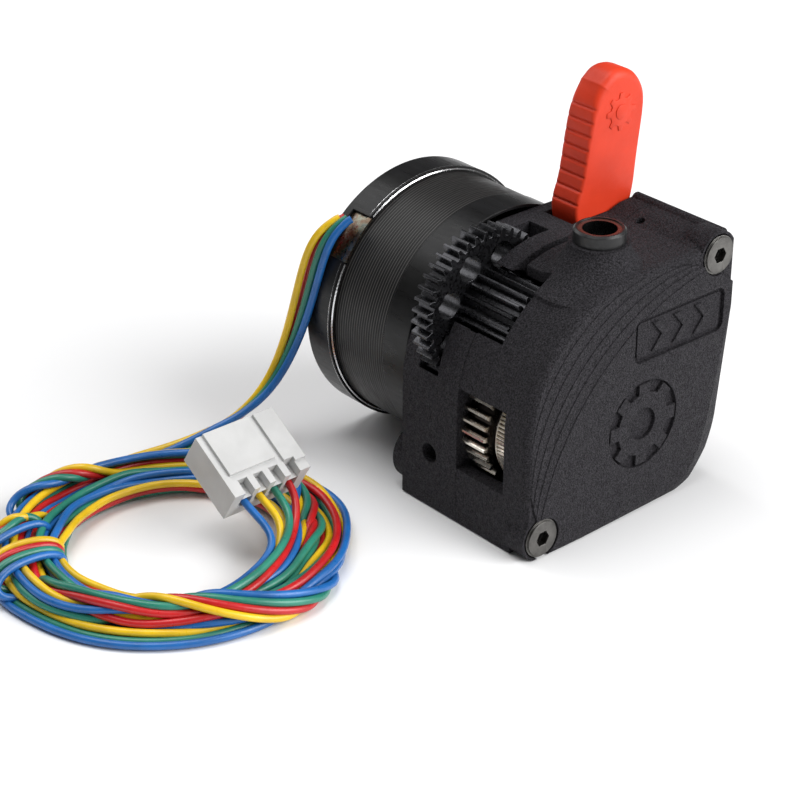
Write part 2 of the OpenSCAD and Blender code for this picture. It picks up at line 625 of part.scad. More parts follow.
// Round tube of n sides swept through a list of points
function unit(v) = v / norm(v);
function heading(p, i) = unit(p[min(i + 1, len(p) - 1)] - p[max(i - 1, 0)]);
function side_of(h, ref) = unit(cross(h, ref));
module swept(p, r, n, ref) {
    pts = [for (i = [0:len(p) - 1]) let (h = heading(p, i), u = side_of(h, ref), v = cross(h, u))
        for (k = [0:n - 1]) p[i] + r * (u * cos(k * 360 / n) + v * sin(k * 360 / n))];
    last = (len(p) - 1) * n;
    polyhedron(pts, concat([[for (k = [0:n - 1]) k]],
        [for (i = [0:len(p) - 2]) for (k = [0:n - 1]) [i * n + k, (i + 1) * n + k,
            (i + 1) * n + (k + 1) % n, i * n + (k + 1) % n]],
        [[for (k = [n - 1:-1:0]) last + k]]));
}
spring_turns = 4;
spring_len = plunger_x[0] - seat_x[1] - 2 * spring_wire_r - 0.1;
spring_pts = [for (i = [0:12 * spring_turns]) [seat_x[1] + spring_wire_r + 0.05 + spring_len * i / (12 * spring_turns),
    (arm_rear_y[0] + arm_rear_y[1]) / 2 + spring_r * cos(30 * i), lever_ax[1] + spring_r * sin(30 * i)]];
module tension_spring() color([0.6, 0.6, 0.6]) swept(spring_pts, spring_wire_r, 8, [1, 0, 0]);

module lead_bundle() color([0.1, 0.45, 0.75]) swept(lead_route, bundle_r, 8, [0.2, 1, 0.1]);
module lead_coil() color([0.75, 0.15, 0.12]) translate([coil_at[0], coil_at[1], 0]) rotate_extrude() union() {
    translate([coil_in_r + 3, 0]) square([coil_out_r - coil_in_r - 6, coil_h]);
    translate([coil_in_r, 3]) square([coil_out_r - coil_in_r, coil_h - 6]);
    for (x = [coil_in_r + 3, coil_out_r - 3]) for (z = [3, coil_h - 3]) translate([x, z]) circle(r = 3);
}

module plug_frame() translate(plug_at) rotate(plug_turn) children();
// Plug: body, raised panel and end rib on its upper face, slots over the crimps underneath
plug_panel_t = 0.45;
plug_step = [1.5, 2.1, 0.9];
module plug_housing() color([0.93, 0.93, 0.91]) plug_frame() difference() {
    union() {
        translate(-plug_size / 2) cube(plug_size - [0, 0, plug_panel_t]);
        translate([-plug_size[0] / 2 + 1.0, -1.9, 0]) cube([7.4, plug_size[1] / 2 + 1.9, plug_size[2] / 2]);
        translate([plug_size[0] / 2 - 3.2, -3.4, 0]) cube([3.2, plug_size[1] / 2 + 3.4, plug_size[2] / 2]);
    }
    for (k = [0:3]) translate([(k - 1.5) * plug_pitch, -plug_size[1] / 2, plug_size[2] / 2 - plug_step[2] / 2])
        cube([plug_step[0], 2 * plug_step[1], plug_step[2] + 2], center = true);
    for (k = [0:3]) translate([(k - 1.5) * plug_pitch - 0.95, -plug_size[1], -0.95]) cube([1.9, 2 * plug_size[1], 1.9]);
    for (k = [0:3]) translate([(k - 1.5) * plug_pitch - 0.6, -plug_size[1] / 2 + 2.4, -plug_size[2]])
        cube([1.2, 4.2, plug_size[2]]);
}
module plug_contacts() color([0.8, 0.75, 0.5]) plug_frame() for (k = [0:3]) difference() {
    translate([(k - 1.5) * plug_pitch - 0.85, -plug_size[1] / 2 + 1.2, -0.85]) cube([1.7, plug_size[1] - 2.4, 1.7]);
    translate([(k - 1.5) * plug_pitch - 0.5, 0, -0.5]) cube([1.0, plug_size[1], 1.0]);
}

front_housing();
rear_housing();
front_screws();
screw_inserts();
motor_screws();
counter_shaft();
left_drive_shaft();
idler_pivot_pin();
lever_pin();
inlet_collar();
inlet_sleeve();
upper_guide_tube();
lower_guide_tube();
motor_front_cap();
motor_stator_stack();
motor_windings();
motor_rear_cap();
motor_front_bearing();
motor_rear_bearing();
bearing_preload_washer();
motor_case_screws();
lead_window_plate();
motor_rotor();
motor_shaft();
reduction_gear();
reduction_pinion();
reduction_bushes();
left_drive_gear();
left_drive_bearing();
right_drive_gear();
right_drive_bearing();
idler_arm();
idler_axle();
release_lever();
lever_cam();
spring_plunger();
tension_spring();
lead_bundle();
lead_coil();
plug_housing();
plug_contacts();
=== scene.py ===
"""Looks of the geared filament extruder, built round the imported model. Lengths are in metres."""
import math

import bmesh
import bpy
import numpy as np
from mathutils import Matrix, Vector, kdtree


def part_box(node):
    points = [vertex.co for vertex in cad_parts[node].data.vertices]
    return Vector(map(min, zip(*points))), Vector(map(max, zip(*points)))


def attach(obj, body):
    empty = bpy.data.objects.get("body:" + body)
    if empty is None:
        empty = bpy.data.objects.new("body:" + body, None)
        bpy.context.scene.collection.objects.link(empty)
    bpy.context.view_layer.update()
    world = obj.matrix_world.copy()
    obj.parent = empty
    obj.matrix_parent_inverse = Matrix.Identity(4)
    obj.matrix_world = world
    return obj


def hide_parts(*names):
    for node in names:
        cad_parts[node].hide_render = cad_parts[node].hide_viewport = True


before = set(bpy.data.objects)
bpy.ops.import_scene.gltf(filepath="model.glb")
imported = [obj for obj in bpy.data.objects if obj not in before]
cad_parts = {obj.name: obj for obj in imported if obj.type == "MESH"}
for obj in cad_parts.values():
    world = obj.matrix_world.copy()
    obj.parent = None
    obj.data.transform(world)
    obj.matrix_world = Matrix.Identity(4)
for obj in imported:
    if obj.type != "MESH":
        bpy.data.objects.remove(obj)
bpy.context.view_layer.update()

MM = 0.001
scene = bpy.context.scene
scene.view_settings.view_transform = "Standard"


# ---------------------------------------------------------------- camera
CAMERA_AT = Vector((-0.20045, -0.19215, 0.16473))
CAMERA_FORWARD = Vector((0.5757, 0.6648, -0.4761))
CAMERA_ROLL = math.radians(0.2)
CAMERA_LENS_MM = 105.4


def add_camera():
    data = bpy.data.cameras.new("camera")
    camera = bpy.data.objects.new("camera", data)
    scene.collection.objects.link(camera)
    turn = CAMERA_FORWARD.to_track_quat("-Z", "Y").to_matrix() @ Matrix.Rotation(CAMERA_ROLL, 3, "Z")
    camera.matrix_world = Matrix.Translation(CAMERA_AT) @ turn.to_4x4()
    data.lens = CAMERA_LENS_MM
    data.sensor_width = 36
    data.clip_start = 0.01
    scene.camera = camera


add_camera()


# ---------------------------------------------------------------- material helpers
class Surface:
    """A procedural material, built one layer at a time on a Principled shader."""

    def __init__(self, name, color, roughness, metallic=0.0):
        self.material = bpy.data.materials.new(name)
        self.material.use_nodes = True
        self.tree = self.material.node_tree
        self.shader = self.tree.nodes["Principled BSDF"]
        self.shader.inputs["Base Color"].default_value = (*color, 1)
        self.shader.inputs["Roughness"].default_value = roughness
        self.shader.inputs["Metallic"].default_value = metallic
        self.color = color
        self.normal = None
        self.place = self.node("ShaderNodeTexCoord").outputs["Object"]

    def node(self, kind, **settings):
        made = self.tree.nodes.new(kind)
        for name, value in settings.items():
            setattr(made, name, value)
        return made

    def link(self, a, b):
        self.tree.links.new(a, b)

    def set(self, **values):
        for name, value in values.items():
            self.shader.inputs[name.replace("_", " ")].default_value = value
        return self

    def stretched(self, stretch):
        mapping = self.node("ShaderNodeMapping")
        mapping.inputs["Scale"].default_value = stretch
        self.link(self.place, mapping.inputs["Vector"])
        return mapping.outputs["Vector"]

    def noise(self, scale, detail=3.0, stretch=(1, 1, 1), rough=0.5, distortion=0.0):
        made = self.node("ShaderNodeTexNoise")
        made.inputs["Scale"].default_value = scale
        made.inputs["Detail"].default_value = detail
        made.inputs["Roughness"].default_value = rough
        made.inputs["Distortion"].default_value = distortion
        self.link(self.stretched(stretch), made.inputs["Vector"])
        return made.outputs["Fac"]

    def radius_from(self, centre, across):
        """Distance from an axis through a point; across holds ones for the two directions it spans."""
        away = self.node("ShaderNodeVectorMath", operation="SUBTRACT")
        away.inputs[1].default_value = centre
        self.link(self.place, away.inputs[0])
        flat = self.node("ShaderNodeVectorMath", operation="MULTIPLY")
        flat.inputs[1].default_value = across
        self.link(away.outputs[0], flat.inputs[0])
        length = self.node("ShaderNodeVectorMath", operation="LENGTH")
        self.link(flat.outputs[0], length.inputs[0])
        return length.outputs["Value"]

    def step(self, value, low, high):
        made = self.node("ShaderNodeMapRange")
        made.inputs["From Min"].default_value = low
        made.inputs["From Max"].default_value = high
        self.link(value, made.inputs["Value"])
        return made.outputs["Result"]

    def cells(self, scale):
        made = self.node("ShaderNodeTexVoronoi")
        made.inputs["Scale"].default_value = scale
        self.link(self.place, made.inputs["Vector"])
        return made.outputs["Distance"]

    def ramp(self, value, stops):
        made = self.node("ShaderNodeValToRGB")
        ramp = made.color_ramp
        while len(ramp.elements) < len(stops):
            ramp.elements.new(0.5)
        for element, (at, color) in zip(ramp.elements, stops):
            element.position = at
            element.color = (*color, 1) if len(color) == 3 else color
        self.link(value, made.inputs["Fac"])
        return made.outputs["Color"]

    def mix(self, factor, a, b):
        made = self.node("ShaderNodeMix", data_type="RGBA")
        for socket, value in ((made.inputs[0], factor), (made.inputs[6], a), (made.inputs[7], b)):
            if isinstance(value, tuple):
                socket.default_value = (*value, 1)
            elif isinstance(value, float):
                socket.default_value = value
            else:
                self.link(value, socket)
        return made.outputs[2]

    def base(self, color):
        self.link(color, self.shader.inputs["Base Color"])
        return self

    def vary_color(self, value, dark, light, low=0.35, high=0.65):
        return self.base(self.ramp(value, [(low, dark), (high, light)]))

    def vary_roughness(self, value, low, high):
        made = self.node("ShaderNodeMapRange")
        made.inputs["From Min"].default_value = 0.3
        made.inputs["From Max"].default_value = 0.7
        made.inputs["To Min"].default_value = low
        made.inputs["To Max"].default_value = high
        self.link(value, made.inputs["Value"])
        self.link(made.outputs["Result"], self.shader.inputs["Roughness"])
        return self

    def bump(self, value, depth, strength=1.0):
        made = self.node("ShaderNodeBump")
        made.inputs["Distance"].default_value = depth
        made.inputs["Strength"].default_value = strength
        self.link(value, made.inputs["Height"])
        if self.normal:
            self.link(self.normal, made.inputs["Normal"])
        self.normal = made.outputs["Normal"]
        self.link(self.normal, self.shader.inputs["Normal"])
        return self

    def soft_edges(self, radius):
        made = self.node("ShaderNodeBevel")
        made.samples = 4
        made.inputs["Radius"].default_value = radius
        self.normal = made.outputs["Normal"]
        self.link(self.normal, self.shader.inputs["Normal"])
        return self

    def lighten_edges(self, edge_color, amount):
        """Lightens convex edges towards another colour."""
        geometry = self.node("ShaderNodeNewGeometry")
        edge = self.ramp(geometry.outputs["Pointiness"], [(0.52, (0, 0, 0)), (0.60, (amount,) * 3)])
        old = self.shader.inputs["Base Color"]
        start = old.links[0].from_socket if old.links else self.color
        return self.base(self.mix(edge, start, edge_color))


def coat(*objects_or_nodes, material):
    """Gives a node or a piece its material."""
    for item in objects_or_nodes:
        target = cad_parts[item] if isinstance(item, str) else item
        target.data.materials.clear()
        target.data.materials.append(material)


# ---------------------------------------------------------------- materials
def sintered_nylon():
    s = Surface("sintered_nylon", (0.013, 0.012, 0.014), 0.7)
    s.set(Specular_IOR_Level=0.18)
    s.soft_edges(0.00025)
    s.vary_color(s.noise(4600, 3.0, rough=0.75), (0.0050, 0.0047, 0.0057), (0.0640, 0.0595, 0.0690),
                 0.38, 0.70)
    s.vary_roughness(s.noise(1500, 4.0), 0.52, 0.82)
    s.bump(s.noise(3300, 3.0, rough=0.75), 0.0005, 1.0)
    s.bump(s.noise(700, 2.0), 0.00006, 0.4)
    return s.material


def black_oxide(name="black_oxide", color=(0.045, 0.045, 0.048), roughness=0.30):
    s = Surface(name, color, roughness, 1.0)
    s.soft_edges(0.00012)
    s.vary_color(s.noise(900, 4.0), tuple(c * 0.7 for c in color), tuple(c * 1.3 for c in color))
    s.vary_roughness(s.noise(2500, 3.0), roughness - 0.07, roughness + 0.13)
    s.bump(s.noise(6000, 2.0), 0.00002, 0.5)
    # Convex edges lightened towards three times the base colour.
    s.lighten_edges(tuple(min(1.0, c * 3.0) for c in color), 0.6)
    return s.material


def ground_steel():
    s = Surface("ground_steel", (0.60, 0.60, 0.61), 0.25, 1.0)
    s.vary_color(s.noise(1200, 3.0, (1, 8, 1)), (0.50, 0.50, 0.51), (0.68, 0.68, 0.69))
    s.vary_roughness(s.noise(3000, 3.0, (1, 0.1, 1)), 0.18, 0.34)
    s.bump(s.noise(9000, 2.0, (1, 0.05, 1)), 0.00001, 0.4)
    return s.material


DRIVE_AXIS_X = 8.5 * MM
DRIVE_AXIS_Z = 14.0 * MM
HOB_GAP_R, HOB_CREST_R = 7.45 * MM, 7.75 * MM
SPUR_GAP_R, SPUR_CREST_R = 8.15 * MM, 8.75 * MM


def gear_nickel(name, axis_x):
    """Nickel-plated gear, bright on the crests, with painted shade in the tooth gaps; axis_x tells the two
    gears apart.
    """
    s = Surface(name, (0.78, 0.73, 0.65), 0.2, 1.0)
    s.soft_edges(0.00006)
    radius = s.radius_from((axis_x, 0, DRIVE_AXIS_Z), (1, 0, 1))
    along = s.node("ShaderNodeSeparateXYZ")
    s.link(s.place, along.inputs[0])
    # Painted shade: near-black colour for the gaps between hob and spur teeth, below the crest radius.
    dark = (0.035, 0.030, 0.026)
    bright = s.ramp(s.noise(500, 3.0), [(0.35, (0.70, 0.65, 0.57)), (0.65, (0.84, 0.79, 0.71))])
    hob = s.mix(s.step(radius, HOB_GAP_R, HOB_CREST_R), dark, bright)
    shoulder = s.mix(s.step(along.outputs["Y"], 1.24 * MM, 1.28 * MM), hob, bright)
    spur = s.mix(s.step(radius, SPUR_GAP_R, SPUR_CREST_R), dark, bright)
    s.base(s.mix(s.step(along.outputs["Y"], 2.22 * MM, 2.26 * MM), shoulder, spur))
    s.vary_roughness(s.noise(1600, 3.0), 0.16, 0.28)
    s.bump(s.noise(3000, 2.0), 0.000004, 0.4)
    return s.material


def brass():
    s = Surface("turned_brass", (0.72, 0.52, 0.24), 0.3, 1.0)
    s.vary_color(s.noise(900, 3.0), (0.60, 0.42, 0.18), (0.78, 0.58, 0.30))
    s.vary_roughness(s.noise(3000, 3.0), 0.22, 0.4)
    s.bump(s.cells(4000), 0.00002, 0.3)
    return s.material


def black_anodised(name="black_anodised", roughness=0.30):
    s = Surface(name, (0.010, 0.010, 0.011), roughness, 0.0)
    s.soft_edges(0.0002)
    s.vary_color(s.noise(260, 3.0, (1, 0.2, 1)), (0.004, 0.004, 0.004), (0.010, 0.010, 0.011))
    s.vary_roughness(s.noise(1800, 4.0, (1, 0.15, 1)), roughness - 0.05, roughness + 0.09)
    s.bump(s.noise(4200, 3.0, (0.15, 1.6, 0.15)), 0.000015, 0.5)
    s.set(Specular_IOR_Level=0.28)
    return s.material


def machined_aluminium():
    s = Surface("machined_aluminium", (0.78, 0.78, 0.79), 0.22, 1.0)
    rings = s.node("ShaderNodeTexWave", wave_type="RINGS", rings_direction="Y")
    rings.inputs["Scale"].default_value = 900
    rings.inputs["Distortion"].default_value = 0.4
    s.link(s.place, rings.inputs["Vector"])
    s.vary_color(s.noise(500, 3.0), (0.66, 0.66, 0.67), (0.84, 0.84, 0.85))
    s.vary_roughness(s.noise(1500, 3.0), 0.16, 0.30)
    s.bump(rings.outputs["Fac"], 0.00001, 0.5)
    return s.material


SHEETS = 22
STACK_LENGTH = 10.5 * MM


def lamination_steel():
    """Dark sheets with a painted highlight line on the edge of each."""
    s = Surface("lamination_steel", (0.014, 0.014, 0.015), 0.36)
    streaks = s.noise(900, 4.0, (0.25, 5.0, 0.25))
    dark = s.ramp(streaks, [(0.3, (0.0015, 0.0015, 0.0015)), (0.8, (0.013, 0.012, 0.012))])
    sheets = s.node("ShaderNodeTexWave", wave_type="BANDS", bands_direction="Y")
    sheets.inputs["Scale"].default_value = math.pi * SHEETS / (10 * STACK_LENGTH)
    s.link(s.place, sheets.inputs["Vector"])
    # Painted highlight: a light line along the edge of each sheet.
    s.base(s.mix(s.step(sheets.outputs["Fac"], 0.78, 1.0), dark, (0.085, 0.083, 0.081)))
    s.vary_roughness(s.noise(1300, 3.0, (0.4, 3.0, 0.4)), 0.30, 0.52)
    s.set(Specular_IOR_Level=0.25)
    s.bump(s.noise(3800, 3.0, (0.5, 2.0, 0.5)), 0.00002, 0.6)
    return s.material


def iridescent_zinc():
    s = Surface("iridescent_zinc", (0.62, 0.62, 0.58), 0.3, 1.0)
    tint = s.ramp(s.noise(420, 3.0, distortion=1.2), [(0.25, (0.13, 0.19, 0.22)), (0.45, (0.26, 0.26, 0.21)),
                                                      (0.60, (0.20, 0.13, 0.09)), (0.75, (0.32, 0.32, 0.30))])
    s.base(tint)
    s.vary_roughness(s.noise(2200, 3.0), 0.22, 0.42)
    s.bump(s.noise(2600, 3.0), 0.00002, 0.5)
    return s.material


def moulded_red():
    s = Surface("moulded_red", (0.66, 0.038, 0.010), 0.45)
    s.vary_color(s.noise(180, 3.0), (0.62, 0.035, 0.008), (0.70, 0.043, 0.011))
    s.vary_roughness(s.noise(1400, 4.0), 0.40, 0.55)
    s.bump(s.noise(4200, 3.0), 0.00003, 0.5)
    s.set(Specular_IOR_Level=0.35)
    return s.material


def sleeve_brown():
    """Polished sleeve with painted shade colouring its bore almost black."""
    s = Surface("sleeve_brown", (0.075, 0.026, 0.020), 0.28)
    # Painted shade: inside a radius of 2.32 to 2.42 mm the colour falls to near-black.
    outer = s.step(s.radius_from((0, 0, 0), (1, 1, 0)), 2.32 * MM, 2.42 * MM)
    s.base(s.mix(outer, (0.002, 0.002, 0.002), (0.075, 0.026, 0.020)))
    s.vary_roughness(s.noise(1600, 3.0), 0.22, 0.36)
    s.bump(s.noise(3500, 3.0), 0.00001, 0.5)
    return s.material


def moulded_white():
    s = Surface("moulded_white", (0.55, 0.55, 0.54), 0.34)
    s.soft_edges(0.00012)
    s.vary_color(s.noise(300, 3.0), (0.52, 0.52, 0.515), (0.57, 0.57, 0.565))
    s.vary_roughness(s.noise(1500, 3.0), 0.28, 0.42)
    s.bump(s.noise(4200, 2.0), 0.00002, 0.4)
    s.set(Subsurface_Weight=0.15, Subsurface_Radius=(0.5, 0.5, 0.45), Subsurface_Scale=0.0012)
    return s.material


def lead_skin(name, color):
    s = Surface("lead_" + name, color, 0.32)
    s.vary_color(s.noise(220, 3.0), tuple(c * 0.82 for c in color), tuple(min(1.0, c * 1.12) for c in color))
    s.vary_roughness(s.noise(1600, 3.0), 0.26, 0.44)
    s.bump(s.noise(3000, 3.0), 0.00002, 0.5)
    s.set(Coat_Weight=0.15, Coat_Roughness=0.25)
    return s.material


def plain_plastic(name, color, roughness):
    s = Surface(name, color, roughness)
    s.soft_edges(0.00015)
    s.vary_color(s.noise(600, 3.0), tuple(c * 0.8 for c in color), tuple(min(1.0, c * 1.2) for c in color))
    s.vary_roughness(s.noise(1800, 3.0), roughness - 0.06, roughness + 0.1)
    s.bump(s.noise(3500, 3.0), 0.00003, 0.5)
    return s.material


def enamelled_copper():
    s = Surface("enamelled_copper", (0.62, 0.24, 0.08), 0.3, 1.0)
    s.vary_color(s.noise(700, 3.0), (0.50, 0.18, 0.05), (0.70, 0.30, 0.12))
    s.bump(s.noise(2600, 2.0, (1, 4, 1)), 0.00008, 0.8)
    return s.material


NYLON = sintered_nylon()
OXIDE = black_oxide()
DARK_GEAR = black_oxide("dark_gear", (0.040, 0.040, 0.043), 0.28)
STEEL = ground_steel()
LEFT_NICKEL = gear_nickel("left_gear_nickel", -DRIVE_AXIS_X)
RIGHT_NICKEL = gear_nickel("right_gear_nickel", DRIVE_AXIS_X)
SCREW = black_oxide("screw_steel", (0.10, 0.097, 0.092), 0.32)
BRASS = brass()
ANODISED = black_anodised()
ALUMINIUM = machined_aluminium()
LAMINATION = lamination_steel()
ZINC = iridescent_zinc()
RED = moulded_red()
WHITE = moulded_white()
COPPER = enamelled_copper()
COLLAR = plain_plastic("collar_dark", (0.008, 0.008, 0.0085), 0.36)
SLEEVE = sleeve_brown()
TUBE = plain_plastic("guide_tube_white", (0.78, 0.78, 0.75), 0.35)

NODE_MATERIALS = {
    "front_housing": NYLON, "rear_housing": NYLON, "idler_arm": OXIDE, "front_screws": SCREW,
    "screw_inserts": BRASS, "motor_screws": OXIDE, "counter_shaft": STEEL, "left_drive_shaft": STEEL,
    "idler_pivot_pin": STEEL, "lever_pin": STEEL, "inlet_collar": COLLAR, "inlet_sleeve": SLEEVE,
    "upper_guide_tube": TUBE, "lower_guide_tube": TUBE, "motor_front_cap": ANODISED,
    "motor_windings": COPPER, "motor_rear_cap": ANODISED, "motor_front_bearing": STEEL,
    "motor_rear_bearing": STEEL, "bearing_preload_washer": STEEL, "motor_case_screws": OXIDE,
    "lead_window_plate": ZINC, "motor_rotor": STEEL, "motor_shaft": STEEL, "reduction_gear": DARK_GEAR,
    "reduction_pinion": DARK_GEAR, "reduction_bushes": BRASS, "left_drive_gear": LEFT_NICKEL,
    "left_drive_bearing": STEEL, "right_drive_gear": RIGHT_NICKEL, "right_drive_bearing": STEEL,
    "idler_axle": STEEL, "lever_cam": OXIDE, "spring_plunger": BRASS, "tension_spring": STEEL,
    "plug_contacts": BRASS, "motor_stator_stack": LAMINATION, "release_lever": RED, "plug_housing": WHITE,
}
for node_name, node_material in NODE_MATERIALS.items():
    coat(node_name, material=node_material)


# ---------------------------------------------------------------- mesh helpers
def mesh_object(name, verts, faces, material, smooth=False):
    mesh = bpy.data.meshes.new(name)
    mesh.from_pydata([tuple(v) for v in verts], [], faces)
    mesh.validate()
    made = bpy.data.objects.new(name, mesh)
    scene.collection.objects.link(made)
    mesh.materials.append(material)
    bm = bmesh.new()
    bm.from_mesh(mesh)
    bmesh.ops.recalc_face_normals(bm, faces=bm.faces)
    bm.to_mesh(mesh)
    bm.free()
    if smooth:
        mesh.shade_smooth()
    return made


def apply_modifiers(piece):
    bpy.context.view_layer.update()
    graph = bpy.context.evaluated_depsgraph_get()
    finished = bpy.data.meshes.new_from_object(piece.evaluated_get(graph))
    piece.modifiers.clear()
    piece.data = finished


def bevel(piece, width, segments, angle):
    made = piece.modifiers.new("bevel", "BEVEL")
    made.width = width
    made.segments = segments
    made.limit_method = "ANGLE"
    made.angle_limit = math.radians(angle)
    made.harden_normals = False
    apply_modifiers(piece)
    piece.data.shade_smooth()


def lathe_y(name, profile, centre, material):
    """Ring turned about the Y direction: profile is a closed list of (radius, y)."""
    steps = 180
    n = len(profile)
    verts, faces = [], []
    for i in range(steps):
        a = 2 * math.pi * i / steps
        for r, y in profile:
            verts.append((centre[0] + r * math.cos(a), y, centre[1] + r * math.sin(a)))
    for i in range(steps):
        j = (i + 1) % steps
        for k in range(n):
            m = (k + 1) % n
            faces.append((i * n + k, j * n + k, j * n + m, i * n + m))
    made = mesh_object(name, verts, faces, material)
    made.data.shade_smooth()
    made.data.set_sharp_from_angle(angle=math.radians(30))
    return made


def prism_y(name, outline, y0, y1, material):
    """Solid between two stations along Y, from an outline of (x, z) points."""
    n = len(outline)
    verts = [(x, y0, z) for x, z in outline] + [(x, y1, z) for x, z in outline]
    faces = [tuple(range(n)), tuple(range(2 * n - 1, n - 1, -1))]
    faces += [(i, (i + 1) % n, n + (i + 1) % n, n + i) for i in range(n)]
    return mesh_object(name, verts, faces, material)


def smoothstep(t):
    t = min(1.0, max(0.0, t))
    return t * t * (3 - 2 * t)


# ---------------------------------------------------------------- places taken from the frame
def middle(node):
    low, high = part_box(node)
    return (low + high) / 2


stack_low, stack_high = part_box("motor_stator_stack")
MOTOR_AXIS = (middle("motor_stator_stack").x, middle("motor_stator_stack").z)
rear_low, rear_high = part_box("motor_rear_cap")
REAR_CAP_R = (rear_high.x - rear_low.x) / 2
lever_low, lever_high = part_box("release_lever")
LEVER_AXIS = (middle("lever_pin").x, middle("lever_pin").z)
coil_low, coil_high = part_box("lead_coil")
COIL_AT = (coil_low + coil_high) / 2


# ---------------------------------------------------------------- the four leads
LEAD_D = 1.06 * MM
LEAD_COLORS = {
    "yellow": (0.78, 0.50, 0.010),
    "red": (0.50, 0.010, 0.012),
    "green": (0.022, 0.205, 0.140),
    "blue": (0.012, 0.125, 0.400),
}
# The free run from the lead window to the coil, as in the CAD source
LEAD_ROUTE = [Vector(p) * MM for p in (
    (-13, 35.4, 33.6), (-14.2, 36.2, 33), (-15.6, 36.8, 31.4), (-16.6, 37.4, 28.6), (-17.4, 37.8, 25.4),
    (-18.2, 38.2, 22), (-19.2, 38.8, 18), (-20.4, 39.4, 14.4), (-22, 40, 11), (-24, 40.8, 8),
    (-26.4, 41.6, 5.8), (-29, 42.2, 4.4), (-31.2, 42.6, 3.6))]
# Side and depth offset of each lead inside the bundle, in lead diameters
BUNDLE_PLACE = {"yellow": (-0.95, 0.1), "green": (-0.05, -0.35), "red": (-0.35, 0.9), "blue": (0.45, -1.15)}
CORE_R = 20.6 * MM
CORE_Z = 3.3 * MM
COIL_START = math.radians(74)
COIL_END = math.radians(7 * 360 - 100)
# Radial and vertical place of the bundle in each successive turn, in mm
TURN_CELLS = [(4.2, -1.9), (1.2, -2.1), (-2.2, -1.9), (-4.0, 0.2), (-0.8, 0.6), (2.8, 0.7), (0.6, 2.4),
              (-3.6, 2.2)]
# Where the leads wind round the bundle in the last turns: first angle, last angle, number of windings
LATE = 6 * 360
WRAPS = [(LATE - 148, LATE - 18, 1), (LATE + 92, LATE + 132, 1), (LATE + 136, LATE + 172, 2)]
# Half width and half height of a winding
WRAP_R = (5.6 * MM, 3.9 * MM)
ROUNDS_FULL = 260


def wrap_phase(angle):
    """Winding of the leads round the bundle at this angle, or None where they lie along it."""
    for first, last, windings in WRAPS:
        t = (math.degrees(angle) - first) / (last - first)
        if 0 < t < 1:
            return math.pi - 2 * math.pi * windings * t, min(1.0, 6 * t, 6 * (1 - t))
    return None


def lift(angle):
    """The coil rides up a little where a wrap passes under it."""
    place = math.degrees(angle) % 360
    total = 0.0
    for first, last, _ in WRAPS:
        away = (place - (first * 0.3 + last * 0.7) + 180) % 360 - 180
        total = max(total, math.exp(-(away / 24) ** 2))
    return 0.9 * MM * total


def coil_point(index, angle):
    turn = (angle - COIL_START) / (2 * math.pi)
    k = min(int(turn), len(TURN_CELLS) - 2)
    t = smoothstep(turn - k)
    a, b = TURN_CELLS[k], TURN_CELLS[k + 1]
    dr = (a[0] + (b[0] - a[0]) * t) * MM
    dz = (a[1] + (b[1] - a[1]) * t) * MM
    twist = index * math.pi / 2 + 0.42 * angle + 0.9 * math.sin(0.37 * angle + index)
    dr += 0.85 * MM * math.cos(twist)
    dz += 0.85 * MM * math.sin(twist)
    wrap = wrap_phase(angle)
    if wrap:
        phase, near = wrap
        dr += ((WRAP_R[0] + 0.1 * MM * index) * math.cos(phase) - dr) * near
        dz += (WRAP_R[1] * math.sin(phase) + 0.4 * MM - dz) * near
        angle += (index - 1.5) * 1.5 * LEAD_D * near / CORE_R
    r = CORE_R + dr + 0.7 * MM * math.sin(angle * 0.61 + 1.3)
    squash_y = 0.95
    return Vector((COIL_AT.x + r * math.cos(angle), COIL_AT.y + r * math.sin(angle) * squash_y,
                   CORE_Z + dz + lift(angle)))


def resample(points, step):
    dist = [0.0]
    for a, b in zip(points, points[1:]):
        dist.append(dist[-1] + (b - a).length)
    count = max(2, int(dist[-1] / step))
    out, k = [], 0
    for i in range(count + 1):
        d = dist[-1] * i / count
        while k < len(dist) - 2 and dist[k + 1] < d:
            k += 1
        span = dist[k + 1] - dist[k]
        out.append(points[k].lerp(points[k + 1], (d - dist[k]) / span if span else 0))
    return out


def spline(points, per=8):
    """Catmull-Rom curve through given points."""
    p = [points[0] * 2 - points[1]] + list(points) + [points[-1] * 2 - points[-2]]
    out = []
    for i in range(1, len(p) - 2):
        for s in range(per):
            t = s / per
            out.append(0.5 * ((2 * p[i]) + (p[i + 1] - p[i - 1]) * t
                              + (2 * p[i - 1] - 5 * p[i] + 4 * p[i + 1] - p[i + 2]) * t * t
                              + (3 * p[i] - p[i - 1] - 3 * p[i + 1] + p[i + 2]) * t ** 3))
    out.append(p[-2])
    return out


PLUG_SIZE = Vector((12.4, 9.8, 5.75)) * MM
PLUG_PITCH = 2.5 * MM
PLUG_ORDER = ["blue", "yellow", "green", "red"]
plug_low, plug_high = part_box("plug_housing")
PLUG = Matrix.Translation((plug_low + plug_high) / 2) @ Matrix.Rotation(math.radians(32), 4, "X")


def smoothed(points, rounds):
    """Eases kinks out of a path and keeps its two ends."""
    p = np.array([tuple(q) for q in points])
    for _ in range(rounds):
        p[2:-2] += 0.5 * ((p[1:-3] + p[3:-1]) / 2 - p[2:-2])
    return p


